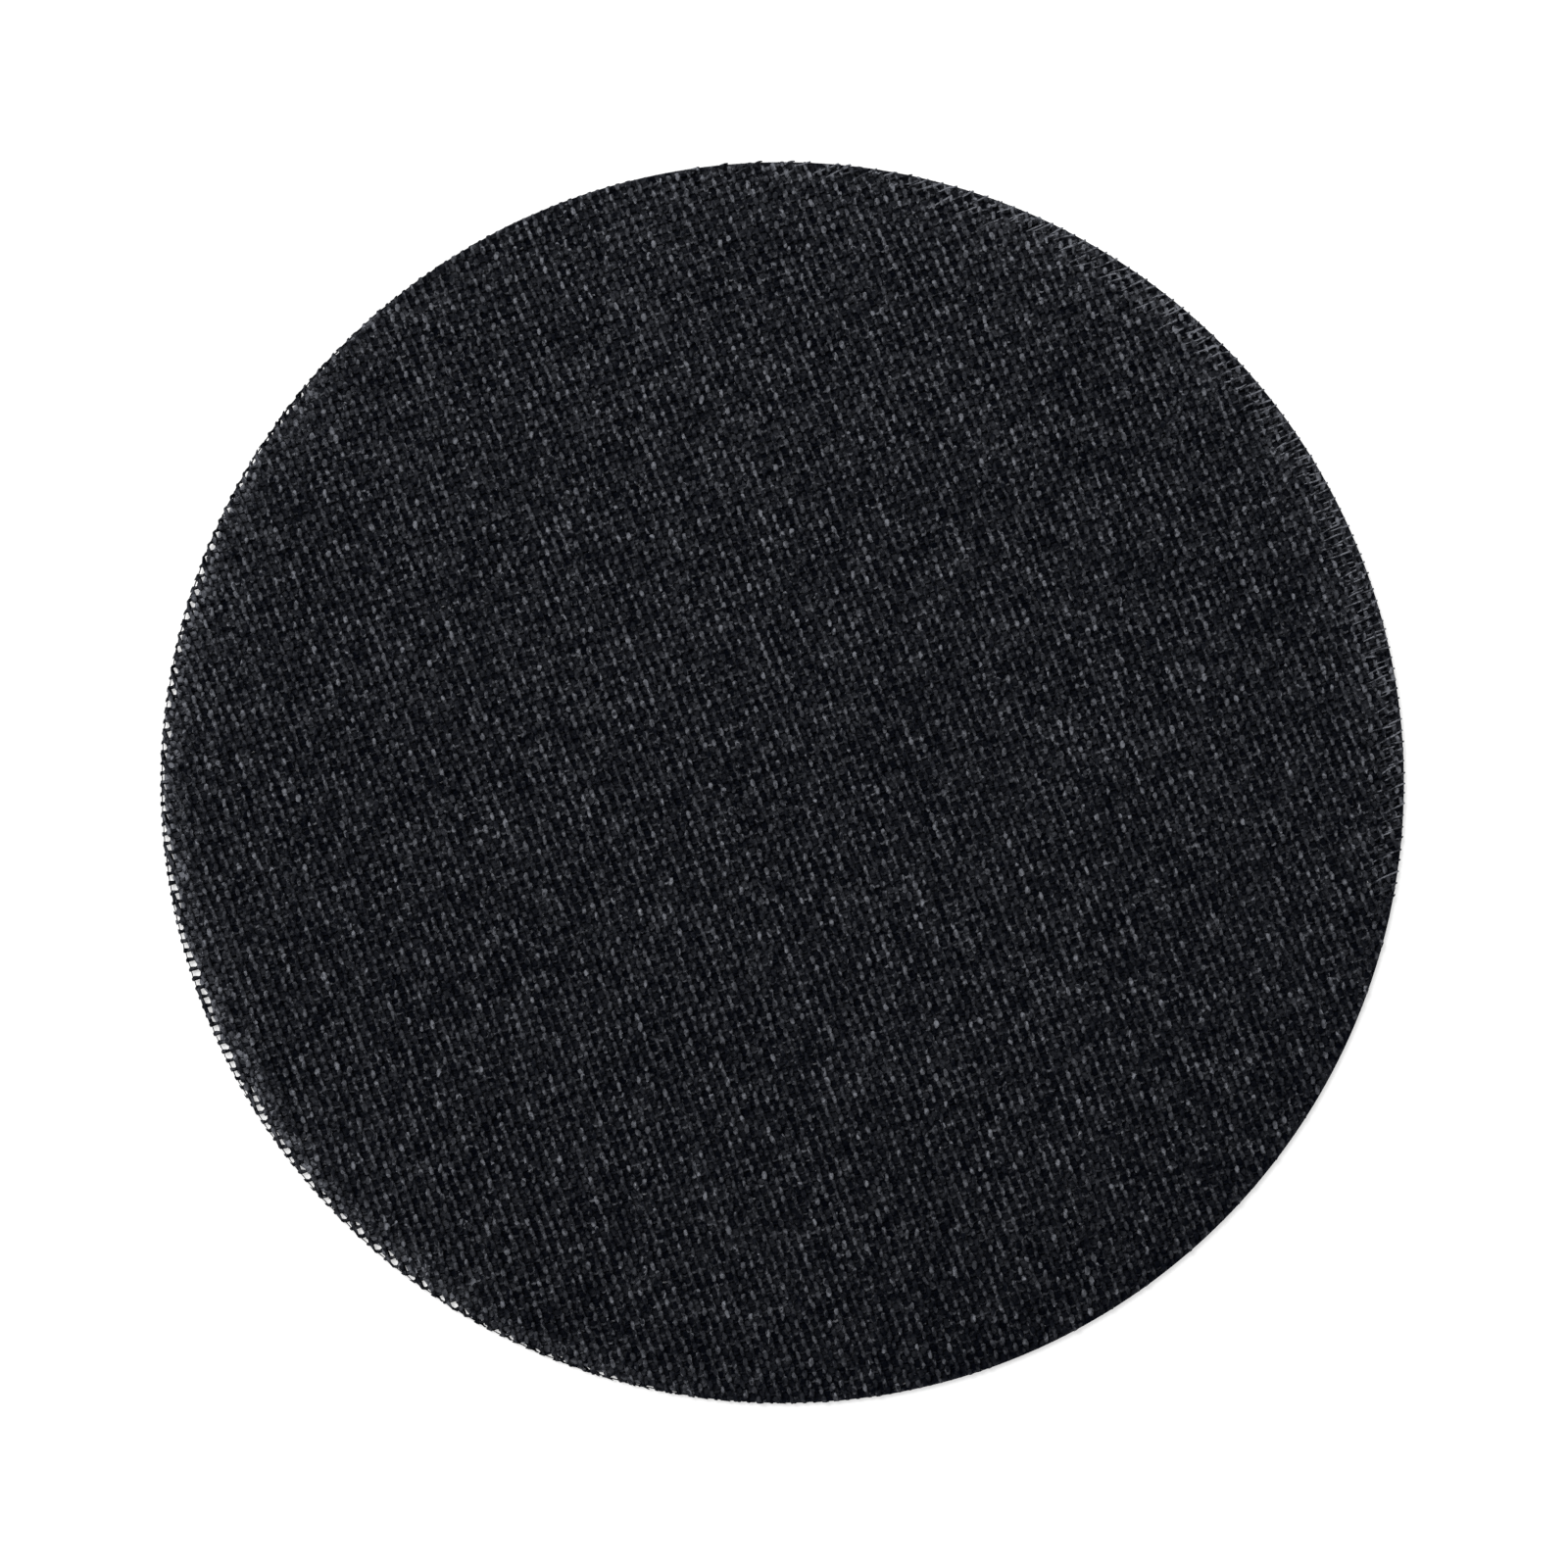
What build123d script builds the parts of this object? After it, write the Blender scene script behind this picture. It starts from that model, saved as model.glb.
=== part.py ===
from build123d import *
import math
import os

# Mesh sanding disc, lying flat on its loop side with the grit side up.
# Units are millimetres. The origin is the middle of the face that the disc rests on.
# The disc is cut from one knitted net, so it is one solid: a web with a rib above it for each
# wale (a column of stitches), a rib of pile loops below each wale, and gaps between the wales.

disc_diameter = 150.0

# Across the net, from one wale to the next.
wale_width = 0.60
wale_crest_width = 0.34
furrow_width = 0.63
loop_rib_width = 0.60
wale_turn = 22.5  # degrees anticlockwise from +Y, seen from above

# Up through the net, from the loops to the crests.
loop_height = 0.45
web_thickness = 0.45
wale_height = 0.40

# The gaps that let the dust through lie in the furrows, in staggered lines.
gap_length = 24.0
gap_bridge = 3.0  # between one gap and the next in the same furrow
gap_inset = 0.02  # between a gap and the ribs on either side of it
furrows_per_gap = 4
rim_band = 2.0  # the edge of the disc that no gap reaches

radius = disc_diameter / 2
wale_pitch = wale_width + furrow_width
gap_width = min(furrow_width, wale_pitch - loop_rib_width) - 2 * gap_inset
web_top = loop_height + web_thickness
thickness = web_top + wale_height


def net_section():
    """The outline of the net across its wales, a little wider than the disc."""
    wales = math.ceil(radius / wale_pitch)
    edge = (wales + 0.5) * wale_pitch
    upper, lower = [(-edge, web_top)], [(-edge, loop_height)]
    for wale in range(-wales, wales + 1):
        middle = wale * wale_pitch
        upper += [
            (middle - wale_width / 2, web_top),
            (middle - wale_crest_width / 2, thickness),
            (middle + wale_crest_width / 2, thickness),
            (middle + wale_width / 2, web_top),
        ]
        lower += [
            (middle - loop_rib_width / 2, loop_height),
            (middle - loop_rib_width / 2, 0),
            (middle + loop_rib_width / 2, 0),
            (middle + loop_rib_width / 2, loop_height),
        ]
    upper.append((edge, web_top))
    lower.append((edge, loop_height))
    return upper + lower[::-1]


def gap_middles():
    """The middle of each gap, across the wales and along them, clear of the rim band."""
    reach = radius - rim_band
    line_step = furrows_per_gap * wale_pitch
    row_step = gap_length + gap_bridge
    lines, rows = math.ceil(reach / line_step), math.ceil(reach / row_step)
    middles = []
    for line in range(-lines, lines + 1):
        across = line * line_step + wale_pitch / 2
        stagger = row_step / 2 if line % 2 else 0
        for row in range(-rows, rows + 1):
            along = row * row_step + stagger
            if math.hypot(abs(across) + gap_width / 2, abs(along) + gap_length / 2) < reach:
                middles.append((across, along))
    return middles


turn = math.radians(wale_turn)
across_wales = (math.cos(turn), math.sin(turn), 0)
against_wales = (math.sin(turn), -math.cos(turn), 0)

with BuildPart() as mesh_disc:
    # The net, drawn across its wales and run from one side of the disc to the other.
    with BuildSketch(Plane(origin=(0, 0, 0), x_dir=across_wales, z_dir=against_wales).offset(-radius)):
        with BuildLine():
            Polyline(*net_section(), close=True)
        make_face()
    extrude(amount=2 * radius, clean=False)

    # The round cut, less the gaps.
    with BuildSketch(Plane(origin=(0, 0, 0), x_dir=across_wales, z_dir=(0, 0, 1))):
        Circle(radius)
        with Locations(*gap_middles()):
            Rectangle(gap_width, gap_length, mode=Mode.SUBTRACT)
    extrude(amount=thickness, mode=Mode.INTERSECT, clean=False)

mesh_disc.part.label = "mesh_disc"

os.makedirs("parts", exist_ok=True)
export_step(mesh_disc.part, "parts/mesh_disc.step")
print(f"{len(gap_middles())} gaps, {thickness:.2f} mm thick, {mesh_disc.part.volume:.0f} cubic mm")
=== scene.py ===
"""Looks of the mesh sanding disc: a knitted net coated with grit, lying loop side down.

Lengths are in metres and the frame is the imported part's: +Z up, the disc's middle at the
origin, +Y towards the top of the view. Names follow the knitting: a wale is a column of
stitches and a course is a row of them. Turns are anticlockwise, as seen from above, and a
tone is how much lighter a place is than its finish, in powers of e.
"""

import logging
import math
from dataclasses import dataclass, field
from enum import Enum
from typing import Any, Iterable, Protocol

import bpy
import numpy as np
from mathutils import Euler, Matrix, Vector


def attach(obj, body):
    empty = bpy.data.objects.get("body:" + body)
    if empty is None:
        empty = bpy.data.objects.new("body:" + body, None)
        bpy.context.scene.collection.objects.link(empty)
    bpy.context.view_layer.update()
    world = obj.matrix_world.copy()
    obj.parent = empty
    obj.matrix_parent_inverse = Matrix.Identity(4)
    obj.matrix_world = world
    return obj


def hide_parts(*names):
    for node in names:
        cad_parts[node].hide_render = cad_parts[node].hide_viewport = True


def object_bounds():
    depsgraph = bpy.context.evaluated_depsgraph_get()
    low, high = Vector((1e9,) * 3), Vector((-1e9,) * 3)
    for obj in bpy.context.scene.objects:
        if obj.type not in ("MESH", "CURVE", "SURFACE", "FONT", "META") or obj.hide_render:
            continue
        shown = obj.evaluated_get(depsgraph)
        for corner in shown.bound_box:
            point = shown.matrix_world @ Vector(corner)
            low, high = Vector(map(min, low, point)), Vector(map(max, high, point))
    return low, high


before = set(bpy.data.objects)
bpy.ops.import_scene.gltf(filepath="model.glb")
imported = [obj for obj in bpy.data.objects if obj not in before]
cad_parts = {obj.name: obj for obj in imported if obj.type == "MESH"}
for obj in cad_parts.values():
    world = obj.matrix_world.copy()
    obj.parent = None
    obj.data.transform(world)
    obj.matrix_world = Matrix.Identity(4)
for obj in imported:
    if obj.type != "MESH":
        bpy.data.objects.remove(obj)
cad_low, cad_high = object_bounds()

MM = 0.001
TINY = 1e-9
NODE = "mesh_disc"
BODY = "root"
BAKE_MAP = "OFBake"
MAP_MARGIN = 0.01
SEED_STEPS = (37.0, 11.0, 0.0)  # how many sizes the cells of two seeds lie apart

log = logging.getLogger("mesh_disc")

Array = np.ndarray
Range = tuple[float, float]
Colour = tuple[float, float, float, float]
WHITE: Colour = (1.0, 1.0, 1.0, 1.0)


class Layer(Enum):
    """The layers of the net, by how high their middle lies over the resting face."""

    LOOPS = 0.19 * MM
    GROUND = 0.36 * MM
    WEFT = 0.60 * MM
    CORE = 0.74 * MM
    STITCH = 0.98 * MM


class Way(Enum):
    """The way that a yarn runs through the net."""

    ALONG_WALE = "along_wale"
    ALONG_COURSE = "along_course"


def even_turns(count: int) -> Array:
    """The angles of points that stand evenly round a circle."""
    return np.arange(count) * 2 * math.pi / count


def heading(turn: Any) -> Array:
    """The way in the plane that is turned from +X by an angle, or by each of many angles."""
    return np.stack([np.cos(turn), np.sin(turn)], axis=-1)


def along_and_across(turn: Any) -> tuple[Array, Array]:
    """The ways along and across what leans from +Y by an angle, or by each of many angles."""
    return np.stack([-np.sin(turn), np.cos(turn)], axis=-1), heading(turn)


def at_height(flat: Array, height: Array) -> Array:
    """Points of the plane, raised to their heights."""
    return np.concatenate([flat, height[..., None]], axis=-1)


def rings_round(path: Array, side: Array, wide: Any, high: Any, around: Array) -> Array:
    """Puts a ring of points upright round each point of a yarn's path.

    Args:
        path: The points of the path.
        side: The way across the yarn, in the plane.
        wide: How far the ring reaches to the side, for each ring or each of its points.
        high: How far it reaches up, likewise.
        around: The angle of each point of a ring, from the side upwards.

    Returns:
        The points of the rings.
    """
    flat = path[..., None, :2] + side[..., None, :] * (wide * np.cos(around))[..., None]
    return at_height(flat, path[..., 2:] + high * np.sin(around))


class Value:
    """A socket's value in an expression, which adds a Math node for each operator."""

    def __init__(self, shader: "Shader", socket: bpy.types.NodeSocket) -> None:
        """Wraps an output socket of a shader's node."""
        self.shader = shader
        self.socket = socket

    def _math(self, operation: str, *values: Any) -> "Value":
        """The result of one Math node on these values."""
        return self.shader.node("ShaderNodeMath", {"operation": operation}, dict(enumerate(values)))

    def __add__(self, other: Any) -> "Value":
        """self + other"""
        return self._math("ADD", self, other)

    __radd__ = __add__

    def __mul__(self, other: Any) -> "Value":
        """self * other"""
        return self._math("MULTIPLY", self, other)

    __rmul__ = __mul__

    def __sub__(self, other: Any) -> "Value":
        """self - other"""
        return self._math("SUBTRACT", self, other)

    def __rsub__(self, other: Any) -> "Value":
        """other - self"""
        return self._math("SUBTRACT", other, self)

    def __rpow__(self, other: Any) -> "Value":
        """other ** self"""
        return self._math("POWER", other, self)

    def clipped(self) -> "Value":
        """The value held between 0 and 1."""
        return self.shader.node(
            "ShaderNodeClamp", {"clamp_type": "MINMAX"}, {"Value": self, "Min": 0.0, "Max": 1.0}
        )


class Shader:
    """The nodes of a material or a world, under construction."""

    def __init__(self, owner: bpy.types.Material | bpy.types.World) -> None:
        """Starts an empty node tree.

        Args:
            owner: The material or world that the nodes belong to.
        """
        self.owner = owner
        owner.use_nodes = True
        self.tree = owner.node_tree
        self.tree.nodes.clear()

    def node(
        self, kind: str, settings: dict[str, Any] | None = None, inputs: dict[Any, Any] | None = None,
        output: str | int | None = 0,
    ) -> Value | None:
        """Adds a node.

        Args:
            kind: The node's type.
            settings: Its properties, set before its sockets.
            inputs: Values or wrapped sockets for its inputs, by name or number.
            output: The output to return, or None where the node has none.

        Returns:
            That output, wrapped.
        """
        made = self.tree.nodes.new(kind)
        for name, setting in (settings or {}).items():
            setattr(made, name, setting)
        for key, value in (inputs or {}).items():
            if isinstance(value, Value):
                self.tree.links.new(value.socket, made.inputs[key])
            else:
                made.inputs[key].default_value = value
        return None if output is None else Value(self, made.outputs[output])

    def vector(self, operation: str, *values: Any, **named: Any) -> Value:
        """The result of one Vector Math node on these values."""
        inputs = {**dict(enumerate(values)), **named}
        return self.node("ShaderNodeVectorMath", {"operation": operation}, inputs)

    def place(self) -> Value:
        """Where a point lies in the part's frame."""
        return self.node("ShaderNodeTexCoord", output="Object")

    def attribute(self, name: str) -> Value:
        """A number that the mesh keeps at each point."""
        return self.node("ShaderNodeAttribute", {"attribute_name": name}, output="Fac")

    def mixed(self, share: Any, first: Any, second: Any) -> Value:
        """A colour between two others, by the second's share."""
        inputs = {0: share, 6: first, 7: second}
        return self.node("ShaderNodeMix", {"data_type": "RGBA"}, inputs, output=2)

    def cells(self, size: float, seed: float = 0.0, place: Value | None = None) -> Value:
        """Random colours in cells.

        Args:
            size: About how wide a cell is.
            seed: Which set of cells it is.
            place: Where to look in them, if not at the point itself.

        Returns:
            The colour of the cell.
        """
        step = tuple(seed * size * sizes for sizes in SEED_STEPS)
        moved = self.vector("ADD", place or self.place(), step)
        inputs = {"Vector": moved, "Scale": 1 / size}
        return self.node("ShaderNodeTexVoronoi", None, inputs, output="Color")

    def drawn_out(self, turn: float, stretch: float) -> Value:
        """Where a point lies, for a texture that is drawn out.

        Args:
            turn: How far the line that it is drawn out along leans from +Y.
            stretch: How many times longer it gets.

        Returns:
            The place.
        """
        return self.node(
            "ShaderNodeMapping", {"vector_type": "TEXTURE"},
            {"Vector": self.place(), "Rotation": (0.0, 0.0, turn), "Scale": (1.0, stretch, 1.0)},
        )

    def clouds(
        self, size: float, detail: float = 2.0, seed: float = 0.0, place: Value | None = None
    ) -> Value:
        """Soft noise.

        Args:
            size: About how wide a cloud is.
            detail: How many finer layers it has.
            seed: Which set of clouds it is.
            place: Where to look in them, if not at the point itself.

        Returns:
            A value from 0 to 1.
        """
        return self.node(
            "ShaderNodeTexNoise", {"noise_dimensions": "4D"},
            {"Vector": place or self.place(), "W": seed, "Scale": 1 / size, "Detail": detail},
        )

    def facets(self, size: float, tilt: float) -> Value:
        """A surface normal that leans its own way in each cell, as on broken grain.

        Args:
            size: How wide a facet is.
            tilt: How far it leans, where 1 is about 45 degrees.

        Returns:
            The normal.
        """
        lean = self.vector("SUBTRACT", self.cells(size), (0.5, 0.5, 0.5))
        scaled = self.vector("SCALE", lean, Scale=tilt)
        normal = self.node("ShaderNodeNewGeometry", output="Normal")
        return self.vector("NORMALIZE", self.vector("ADD", normal, scaled))

    def looked_at(self) -> Value:
        """Tells the camera's view of a surface from the light that the surface sends elsewhere.

        Returns:
            1 where the camera sees it, straight on or by way of a gloss or glass, and otherwise 0.
        """
        rays = ("Is Camera Ray", "Is Glossy Ray", "Is Transmission Ray")
        camera, glossy, through = (self.node("ShaderNodeLightPath", output=ray) for ray in rays)
        return (camera + glossy + through).clipped()

    def finish(self, surface: Value) -> Any:
        """Ends the nodes.

        Args:
            surface: What the material or world shows.

        Returns:
            The owner of the nodes.
        """
        kind = "World" if isinstance(self.owner, bpy.types.World) else "Material"
        self.node(f"ShaderNodeOutput{kind}", None, {"Surface": surface}, output=None)
        return self.owner


@dataclass(frozen=True)
class Specks:
    """A colour in uneven specks drawn out along the wales: soft ones, crisp ones and wide patches.

    The level is the share of the light colour at a tone of 0. Each force is how much the tone
    changes over the specks' range. The specks are the grit's uneven tone, and the brightest of
    them are in part painted glints of the grit.
    """

    level: float
    dark: Colour
    light: Colour = (0.186, 0.194, 0.219, 1.0)
    turn: float = math.radians(18.0)
    stretch: float = 1.15
    soft: float = 0.60 * MM
    soft_detail: float = 1.5
    soft_force: float = 3.5
    soft_seed: float = 3.0
    # crisp specks: uneven grit tone, with the brightest in part painted glints
    crisp: float = 0.60 * MM
    crisp_force: float = 3.4
    crisp_seed: float = 1.0
    patch: float = 2.8 * MM
    patch_detail: float = 2.0
    patch_force: float = 1.35
    patch_seed: float = 5.0

    def colour(self, shader: Shader) -> Value:
        """Adds the specks to the tone that the mesh keeps.

        Args:
            shader: The material's nodes.

        Returns:
            The speckled colour.
        """
        place = shader.drawn_out(self.turn, self.stretch)
        tone = shader.attribute("tone")
        soft = shader.clouds(self.soft, self.soft_detail, self.soft_seed, place)
        tone = tone + (soft - 0.5) * self.soft_force
        tone = tone + (shader.cells(self.crisp, self.crisp_seed, place) - 0.5) * self.crisp_force
        patch = shader.clouds(self.patch, self.patch_detail, self.patch_seed)
        tone = tone + (patch - 0.5) * self.patch_force
        return shader.mixed(((math.e**tone) * self.level).clipped(), self.dark, self.light)


@dataclass(frozen=True)
class GritFinish:
    """Dark abrasive grain in resin, with facets that glint."""

    name: str
    specks: Specks = Specks(level=0.163, dark=(0.0006, 0.0013, 0.0040, 1.0))
    facet: float = 0.36 * MM
    tilt: float = 1.2
    rough: float = 0.45
    shine: float = 0.015
    glint_share: float = 0.08
    glint_edge: float = 40.0
    glint_weight: float = 0.6
    glint_seed: float = 2.0
    resin_rough: float = 0.22
    resin_index: float = 1.6

    def material(self) -> bpy.types.Material:
        """Builds the material.

        Returns:
            The material, whose resin glints on a few facets.
        """
        shader = Shader(bpy.data.materials.new(self.name))
        over = shader.cells(self.facet, self.glint_seed) - (1 - self.glint_share)
        surface = shader.node(
            "ShaderNodeBsdfPrincipled", None,
            {
                "Base Color": self.specks.colour(shader),
                "Roughness": self.rough,
                "Specular IOR Level": self.shine,
                "Coat Weight": (over * self.glint_edge).clipped() * self.glint_weight,
                "Coat Roughness": self.resin_rough,
                "Coat IOR": self.resin_index,
                "Normal": shader.facets(self.facet, self.tilt),
            },
        )
        return shader.finish(surface)


@dataclass(frozen=True)
class YarnFinish:
    """Dull black yarn with a fibrous bump."""

    name: str
    specks: Specks = Specks(level=0.044, dark=(0.0006, 0.0012, 0.0036, 1.0))
    fibre: float = 0.12 * MM
    fibre_detail: float = 3.0
    fibre_seed: float = 1.0
    bump: float = 0.6
    rough: float = 0.85
    shine: float = 0.01

    def material(self) -> bpy.types.Material:
        """Builds the material.

        Returns:
            The material, with its fibres as a bump.
        """
        shader = Shader(bpy.data.materials.new(self.name))
        fibres = shader.clouds(self.fibre, self.fibre_detail, self.fibre_seed)
        relief = shader.node(
            "ShaderNodeBump", None,
            {"Strength": self.bump, "Distance": self.fibre, "Height": fibres},
        )
        surface = shader.node(
            "ShaderNodeBsdfPrincipled", None,
            {
                "Base Color": self.specks.colour(shader),
                "Roughness": self.rough,
                "Specular IOR Level": self.shine,
                "Normal": relief,
            },
        )
        return shader.finish(surface)


@dataclass(frozen=True)
class GroundFinish:
    """The white ground: it takes the disc's shadow, and shows white where the light is full."""

    name: str = "white_ground"
    colour: Colour = (0.80, 0.80, 0.80, 1.0)
    lift: float = 0.42
    white_from: float = 0.25
    white_by: float = 0.75

    def material(self) -> bpy.types.Material:
        """Builds the material.

        Returns:
            The material: lit near the disc, and plain white far from it.
        """
        shader = Shader(bpy.data.materials.new(self.name))
        ground = shader.node("ShaderNodeBsdfDiffuse", None, {"Color": self.colour})
        glow = shader.node("ShaderNodeEmission", None, {"Strength": self.lift})
        white = shader.node("ShaderNodeEmission", None, {"Strength": 1.0})
        both = shader.node("ShaderNodeAddShader", None, {0: ground, 1: glow})
        away = shader.node(
            "ShaderNodeVectorMath", {"operation": "LENGTH"}, {0: shader.place()}, output="Value"
        )
        far = ((away - self.white_from) * (1 / (self.white_by - self.white_from))).clipped()
        shown = shader.node("ShaderNodeMixShader", None, {0: far, 1: both, 2: white})
        surface = shader.node(
            "ShaderNodeMixShader", None, {0: shader.looked_at(), 1: ground, 2: shown}
        )
        return shader.finish(surface)


@dataclass(frozen=True)
class RimPart:
    """A part of the rim, and how much lighter its net is painted there, as a tone; a tone below 0 paints
    it darker.

    It spreads from its middle to both sides, and its band is how far in from the cut it reaches.
    """

    middle: float
    spread: float
    lighter: float
    band: float = 10.0 * MM

    def share(self, angle: Array) -> Array:
        """How far an angle round the disc belongs to this part, from 0 to 1."""
        away = (angle - self.middle + math.pi) % (2 * math.pi) - math.pi
        return np.exp(-((away / self.spread) ** 4) / 2)


# painted light: the clear left rim is painted lighter, as if lit by the white ground through its open
# holes
CLEAR_RIM = RimPart(middle=math.radians(196.0), spread=math.radians(52.0), lighter=0.40)
FRINGED_RIM = RimPart(middle=math.radians(46.0), spread=math.radians(52.0), lighter=0.55)
# painted shade: the packed lower right rim is painted darker, where no light gets in under the edge
PACKED_RIM = RimPart(middle=math.radians(295.0), spread=math.radians(48.0), lighter=-0.35)


@dataclass(frozen=True)
class Wander:
    """A slow wave in the rows of stitches, which a slower one across them bends.

    The steps are how far each wave turns from one stitch to the next, in radians.
    """

    step: float
    bend: float
    bend_step: float

    def at(self, along: Array, across: Array) -> Array:
        """The wave at these lattice numbers, from -1 to 1."""
        return np.sin(self.step * along + self.bend * np.sin(self.bend_step * across))


@dataclass
class Net:
    """The lattice of stitches, as it was knitted and as it lies after coating.

    The wales' turn is how far they lean from +Y, and the courses' how far they lean from +X.
    A bow is how many stitches the lattice has drifted at the rim, from the disc's middle, for
    x * x, x * y and y * y. The net is painted lighter towards the light's turn, by a slope in
    tone: painted light.
    """

    radius: float
    thickness: float
    wale_pitch: float = 1.228 * MM
    course_pitch: float = 1.186 * MM
    wale_turn: float = math.radians(21.4)
    course_turn: float = math.radians(17.4)
    wale_bow: tuple[float, float, float] = (-0.226, -0.582, 1.000)
    course_bow: tuple[float, float, float] = (-0.330, 0.0, -0.070)
    wander_size: float = 0.035
    wale_wander: Wander = Wander(step=0.31, bend=0.9, bend_step=0.17)
    course_wander: Wander = Wander(step=0.23, bend=1.1, bend_step=0.13)
    # painted light: the slope in tone that paints the net lighter towards the light's turn
    light_turn: float = math.radians(105.0)
    light_slope: float = 0.18
    spare: int = 8
    lowest: float = 0.01 * MM
    highest_share: float = 1.025

    along_wale: Array = field(init=False)
    across_wale: Array = field(init=False)
    to_next_wale: Array = field(init=False)
    to_next_course: Array = field(init=False)
    half_count: int = field(init=False)

    def __post_init__(self) -> None:
        """Works out the steps from stitch to stitch."""
        skew = math.cos(self.wale_turn - self.course_turn)
        self.along_wale, self.across_wale = along_and_across(self.wale_turn)
        self.to_next_wale = heading(self.course_turn) * self.wale_pitch / skew
        self.to_next_course = -self.along_wale * self.course_pitch / skew
        finest = min(self.wale_pitch, self.course_pitch)
        self.half_count = math.ceil(self.radius / finest) + self.spare

    def places(self, wales: Array, courses: Array) -> Array:
        """Where points of the lattice lie.

        Args:
            wales: Wale numbers, which need not be whole.
            courses: Course numbers, which need not be whole.

        Returns:
            An array of points in the plane.
        """
        wales, courses = np.asarray(wales, float), np.asarray(courses, float)
        flat = wales[..., None] * self.to_next_wale + courses[..., None] * self.to_next_course
        x, y = flat[..., 0] / self.radius, flat[..., 1] / self.radius
        terms = np.stack([x * x, x * y, y * y], axis=-1)
        drift_wale = terms @ np.array(self.wale_bow)
        drift_course = terms @ np.array(self.course_bow)
        drift_wale += self.wander_size * self.wale_wander.at(courses, wales)
        drift_course += self.wander_size * self.course_wander.at(wales, courses)
        return (
            flat
            - drift_wale[..., None] * self.to_next_wale
            - drift_course[..., None] * self.to_next_course
        )

    def inside(self, places: Array, rim: float, clear_rim: float) -> Array:
        """Whether points of the net lie inside the rim.

        Args:
            places: The points, in the plane.
            rim: How far inside the cut edge they lie at least.
            clear_rim: How much further inside they lie where the rim is clear.

        Returns:
            True for each point that does.
        """
        clear = CLEAR_RIM.share(np.arctan2(places[..., 1], places[..., 0]))
        return np.linalg.norm(places, axis=-1) < self.radius - rim - clear_rim * clear

    def stitches(self, rim: float, clear_rim: float = 0.0) -> tuple[Array, Array]:
        """The numbers of the stitches that lie inside the rim.

        Args:
            rim: How far inside the cut edge a stitch's middle lies at least.
            clear_rim: How much further inside it lies where the rim is clear.

        Returns:
            The wale numbers and the course numbers.
        """
        count = np.arange(-self.half_count, self.half_count + 1)
        wales, courses = np.meshgrid(count, count, indexing="ij")
        inside = self.inside(self.places(wales, courses), rim, clear_rim)
        return wales[inside], courses[inside]

    def cut(self, points: Array, over: float = 0.0) -> Array:
        """Holds points inside the cut edge, over the resting face and under the crests.

        Args:
            points: The points.
            over: How far they may reach past the cut edge.

        Returns:
            The points, moved where they were outside.
        """
        out = np.linalg.norm(points[..., :2], axis=-1, keepdims=True)
        share = np.minimum(1.0, (self.radius + over) / np.maximum(out, TINY))
        up = np.clip(points[..., 2:], self.lowest, self.highest_share * self.thickness)
        return np.concatenate([points[..., :2] * share, up], axis=-1)

    def painted_light_and_rim_tone(self, points: Array) -> Array:
        """The painted tone of the net: a slope of painted light across the disc, with the parts of the
        rim on top, painted light at the clear rim, painted shade at the packed rim and lighter at the
        fringed rim.

        Args:
            points: Where it is asked for.

        Returns:
            The tone at each point.
        """
        # painted light: lighter towards the light's turn
        tone = self.light_slope * (points[:, :2] @ heading(self.light_turn)) / self.radius
        angle = np.arctan2(points[:, 1], points[:, 0])
        inside = self.radius - np.linalg.norm(points[:, :2], axis=1)
        # the rim's parts: painted light at the clear rim, painted shade at the packed rim, lighter at
        # the fringed rim
        for part in (CLEAR_RIM, FRINGED_RIM, PACKED_RIM):
            tone = tone + part.lighter * part.share(angle) * np.clip(1 - inside / part.band, 0, 1)
        return tone


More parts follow.
